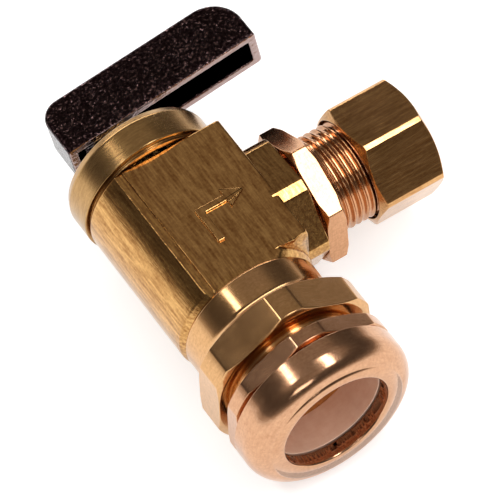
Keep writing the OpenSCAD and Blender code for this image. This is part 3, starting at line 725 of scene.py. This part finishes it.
def lever_hub():
    """Rounded box between the walls, drilled for the stem and sunk for the screw's head."""
    half_length, half_width = 4.4, 2.6
    angles = round_angles()
    wall = soft_min(half_length / np.maximum(np.abs(np.cos(angles)), 1e-6),
                    half_width / np.maximum(np.abs(np.sin(angles)), 1e-6), 0.3)
    low, high = LEVER_FOOT + 0.12, LEVER_TOP - 0.9
    outline = soften([(1.2, low), (0.0, low, 0.2), (0.0, high, 0.2), (0.8, high)], 0.2, 6)
    radius = wall[None] - outline[:, :1]
    height = outline[:, 1:2] * np.ones(len(angles))
    bore = soften([(3.1, high), (3.0, SCREW_FLOOR, 0.1), (2.66, SCREW_FLOOR, 0.1), (2.66, low)])
    inner, inner_height = lathe_band(bore, angles)
    points, faces = tube(along_y(np.vstack([radius, inner]), np.vstack([height, inner_height]), angles))
    return turned(points), faces


def weld(mesh, distance):
    """Points closer than the distance joined, and faces turned outwards."""
    edit = bmesh.new()
    edit.from_mesh(mesh)
    bmesh.ops.remove_doubles(edit, verts=edit.verts, dist=distance)
    bmesh.ops.recalc_face_normals(edit, faces=edit.faces)
    edit.to_mesh(mesh)
    edit.free()


def shell_mesh(name, points, faces):
    """Bare mesh from one closed shell given in millimetres."""
    mesh = bpy.data.meshes.new(name)
    mesh.from_pydata(points * MM, [], outward(points - points.mean(0), faces).tolist())
    return mesh


def lever_piece():
    """The lever with its hub between the walls, and its top cut through over the screw's head."""
    thing = piece("lever", "control", ["handle"], [lever()], lever_plating_painted_glints)
    weld(thing.data, 3e-6)
    angles = round_angles(96)
    hole_low, hole_high, hole_r = SCREW_FLOOR + 0.3, LEVER_TOP + 2.3, 2.9
    rings = np.array([[0.0, hole_low], [hole_r, hole_low], [hole_r, LEVER_TOP - 0.2],
                      [hole_r + 0.2, LEVER_TOP + 0.02], [hole_r + 0.2, hole_high], [0.0, hole_high]])
    cutter_mesh = shell_mesh("cutter", *capped(along_y(*lathe_band(rings, angles), angles)))
    weld(cutter_mesh, 1e-7)
    cutter = bpy.data.objects.new("cutter", cutter_mesh)
    bpy.context.scene.collection.objects.link(cutter)
    cut = thing.modifiers.new("screw hole", "BOOLEAN")
    cut.operation, cut.solver, cut.object = "DIFFERENCE", "EXACT", cutter
    shape = bpy.data.meshes.new_from_object(thing.evaluated_get(bpy.context.evaluated_depsgraph_get()))
    thing.modifiers.clear()
    bpy.data.objects.remove(cutter)
    bpy.data.meshes.remove(cutter_mesh)
    hub = shell_mesh("hub", *lever_hub())
    edit = bmesh.new()
    edit.from_mesh(shape)
    edit.from_mesh(hub)
    edit.to_mesh(shape)
    edit.free()
    bpy.data.meshes.remove(hub)
    shape.polygons.foreach_set("use_smooth", np.ones(len(shape.polygons), bool))
    shape.set_sharp_from_angle(angle=math.radians(38))
    shape.name = "lever"
    thing.data = shape


piece("inlet_nut_domed", "inlet_nut_turning", ["inlet_nut"], [inlet_nut()], nose_brass)
piece("inlet_end", "valve", ["inlet_adapter"], [inlet_adapter()], turned_y)
piece("inlet_sleeve_ring", "inlet_sleeve", ["inlet_ferrule"], [inlet_ferrule()], sleeve_brass)
piece("forged_body", "valve", ["valve_body"],
      [valve_body(), outlet_boss(), flow_arrow()], forged)
piece("cap", "valve", ["bonnet_cap"],
      [bonnet_cap(), stop_block()], cap_brass)
piece("outlet_end", "valve", ["outlet_adapter"], [outlet_adapter()], turned_x)
piece("outlet_nut_long", "outlet_nut_turning", ["outlet_nut"], [outlet_nut()], hex_brass)
piece("outlet_sleeve_ring", "outlet_sleeve", ["outlet_ferrule"],
      [outlet_ferrule()], sleeve_brass)
lever_piece()


# ---------------------------------------------------------------- floor, light and camera, in metres

MIDDLE = Vector((0.008, 0.03, 0.0))


def softbar(name, start, end, width, radiance, distance=0.6):
    """Long softbox between two directions as seen from the object, facing it."""
    near, far = (MIDDLE + Vector(d).normalized() * distance for d in (start, end))
    centre = (near + far) / 2
    along = (far - near).normalized()
    back = centre - MIDDLE
    back = (back - along * back.dot(along)).normalized()
    light = bpy.data.lights.new(name, "AREA")
    light.shape = "RECTANGLE"
    light.size, light.size_y = (far - near).length, width
    light.energy = radiance * math.pi * light.size * width
    thing = bpy.data.objects.new(name, light)
    bpy.context.scene.collection.objects.link(thing)
    turn = Matrix((along, back.cross(along), back)).transposed().to_4x4()
    thing.matrix_world = Matrix.Translation(centre) @ turn


FLOOR_WHITE, FLOOR_GLOW, FLOOR_REACH = 0.82, 0.46, 4
SKY_LEVEL = 0.66
SKY_AT_HEIGHT = ((0.06, 0.62), (0.17, 0.20), (0.38, 0.10), (0.62, 0.12), (0.8, 0.33))


def white_floor():
    """Large pale floor under the object: plain white to the camera and in reflections, apart from shadow."""
    z = cad_box[0][2] - 0.0001
    mesh = bpy.data.meshes.new("floor")
    far = FLOOR_REACH
    mesh.from_pydata([(-far, -far, z), (far, -far, z), (far, far, z), (-far, far, z)], [], [(0, 1, 2, 3)])
    material = bpy.data.materials.new("floor white")
    material.use_nodes = True
    tree = material.node_tree
    shader = tree.nodes["Principled BSDF"]
    shader.inputs["Base Color"].default_value = (FLOOR_WHITE, FLOOR_WHITE, FLOOR_WHITE, 1)
    shader.inputs["Roughness"].default_value = 0.9
    shader.inputs["Specular IOR Level"].default_value = 0.0
    shader.inputs["Emission Color"].default_value = (1, 1, 1, 1)
    rays = tree.nodes.new("ShaderNodeLightPath").outputs
    seen = calculate(tree, "MAXIMUM", rays["Is Camera Ray"], rays["Is Glossy Ray"])
    seen = calculate(tree, "MAXIMUM", seen, rays["Is Transmission Ray"])
    tree.links.new(calculate(tree, "MULTIPLY", seen, FLOOR_GLOW), shader.inputs["Emission Strength"])
    mesh.materials.append(material)
    thing = bpy.data.objects.new("floor", mesh)
    bpy.context.scene.collection.objects.link(thing)


def studio_world():
    """White behind the object; a plain grey level for soft light; in reflections white at the horizon,
    falling to a dim warm ceiling."""
    world = bpy.data.worlds.new("studio")
    bpy.context.scene.world = world
    world.use_nodes = True
    tree = world.node_tree
    nodes, links = tree.nodes, tree.links
    rays = nodes.new("ShaderNodeLightPath").outputs
    direction = nodes.new("ShaderNodeTexCoord")
    parts = nodes.new("ShaderNodeSeparateXYZ")
    links.new(direction.outputs["Generated"], parts.inputs[0])
    ramp = nodes.new("ShaderNodeValToRGB")
    ramp.color_ramp.interpolation = "EASE"
    stops = ramp.color_ramp.elements
    stops[0].position, stops[0].color = 0.0, (1, 1, 1, 1)
    stops[1].position, stops[1].color = 1.0, (0.28, 0.25, 0.22, 1)
    for position, grey in SKY_AT_HEIGHT:
        stop = stops.new(position)
        stop.color = (grey, grey * 0.88, grey * 0.78, 1)
    links.new(parts.outputs["Z"], ramp.inputs["Fac"])
    plain = blend(tree, rays["Is Glossy Ray"], (SKY_LEVEL, SKY_LEVEL, SKY_LEVEL, 1), ramp.outputs["Color"])
    open_to = calculate(tree, "MAXIMUM", rays["Is Camera Ray"], rays["Is Transmission Ray"])
    links.new(blend(tree, open_to, plain, (1, 1, 1, 1)), nodes["Background"].inputs["Color"])


AZIMUTH, ELEVATION, ROLL = -29.3, 55.8, -4.3
SHIFT_RIGHT, SHIFT_UP = -0.01144, 0.02259
FOCAL_LENGTH, CAMERA_DISTANCE = 330.5, 0.6


def camera():
    """Camera at the set azimuth, elevation and roll, aimed off the origin by two shifts in its own plane."""
    azimuth, elevation, roll = (math.radians(v) for v in (AZIMUTH, ELEVATION, ROLL))
    right = Vector((math.cos(azimuth), math.sin(azimuth), 0))
    back = Vector((math.sin(azimuth) * math.cos(elevation), -math.cos(azimuth) * math.cos(elevation),
                   math.sin(elevation)))
    up = back.cross(right)
    level = right * math.cos(roll) + up * math.sin(roll)
    tilt = -right * math.sin(roll) + up * math.cos(roll)
    aim = level * SHIFT_RIGHT + tilt * SHIFT_UP
    data = bpy.data.cameras.new("camera")
    data.lens, data.sensor_width = FOCAL_LENGTH, 36
    data.clip_start, data.clip_end = 0.01, 20
    thing = bpy.data.objects.new("camera", data)
    bpy.context.scene.collection.objects.link(thing)
    turn = Matrix((level, tilt, back)).transposed().to_4x4()
    thing.matrix_world = Matrix.Translation(aim + back * CAMERA_DISTANCE) @ turn
    bpy.context.scene.camera = thing


white_floor()
studio_world()
camera()
softbar("right softbox", (0.24, 0.2, 0.95), (0.28, -0.62, 0.74), width=0.10, radiance=8)
softbar("left softbox", (-0.42, 0.5, 0.76), (-0.47, -0.2, 0.86), width=0.07, radiance=7)
softbar("far softbox", (-0.30, 0.90, 0.30), (0.75, 0.85, 0.36), width=0.08, radiance=6)
softbar("near softbox", (-0.10, -0.83, 0.55), (-0.45, -0.70, 0.55), width=0.11, radiance=3)
bpy.context.scene.view_settings.view_transform = "Standard"
